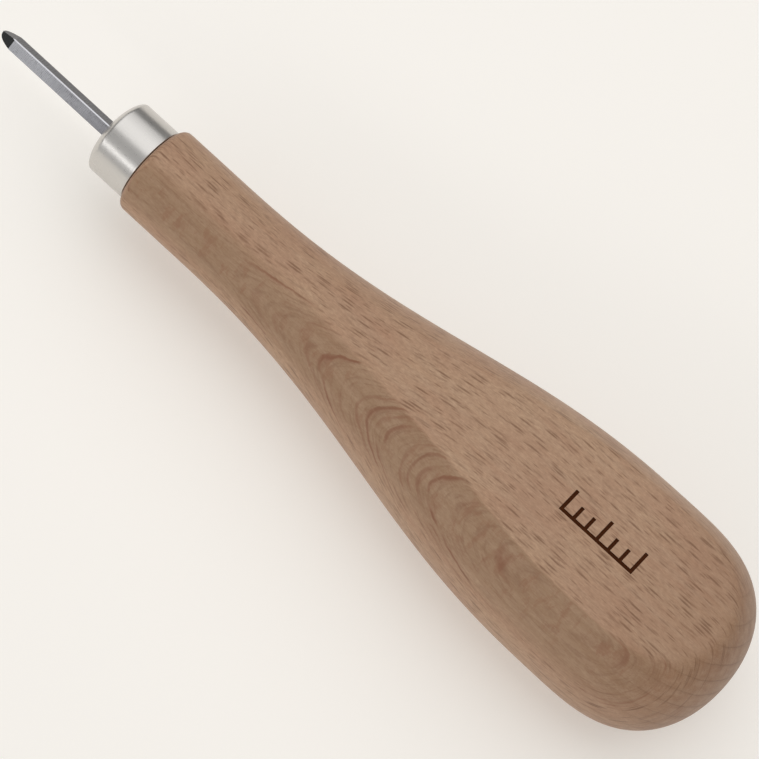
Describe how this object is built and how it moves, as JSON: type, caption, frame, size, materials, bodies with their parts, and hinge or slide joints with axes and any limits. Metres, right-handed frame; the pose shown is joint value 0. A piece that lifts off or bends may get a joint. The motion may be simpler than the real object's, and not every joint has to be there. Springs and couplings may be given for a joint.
{
  "type": "lino cutter",
  "caption": "Hand tool for cutting linoleum: a narrow V-gouge blade in a pear-shaped beech handle with palm flats and a domed metal ferrule.",
  "frame": {"origin": "under the middle of the tool's length and width, on the plane of the lower palm flat", "axes": "X along the tool from the cutting tip at -X to the butt at +X; +Z out of the upper palm flat, the side that carries the size mark and towards which the blade's keel points; Y across the tool"},
  "size_m": [0.152, 0.0354, 0.0268],
  "materials": {
    "beech_wood": "sanded beech under a thin clear satin finish",
    "nickel_plated_steel": "satin nickel plate on drawn steel",
    "blade_steel": "ground tool steel with fine grinding marks",
    "set_adhesive": "set clear amber adhesive"
  },
  "bodies": {
    "root": {"handle": "beech_wood", "ferrule": "nickel_plated_steel", "blade": "blade_steel", "tang_adhesive": "set_adhesive"}
  },
  "joints": []
}
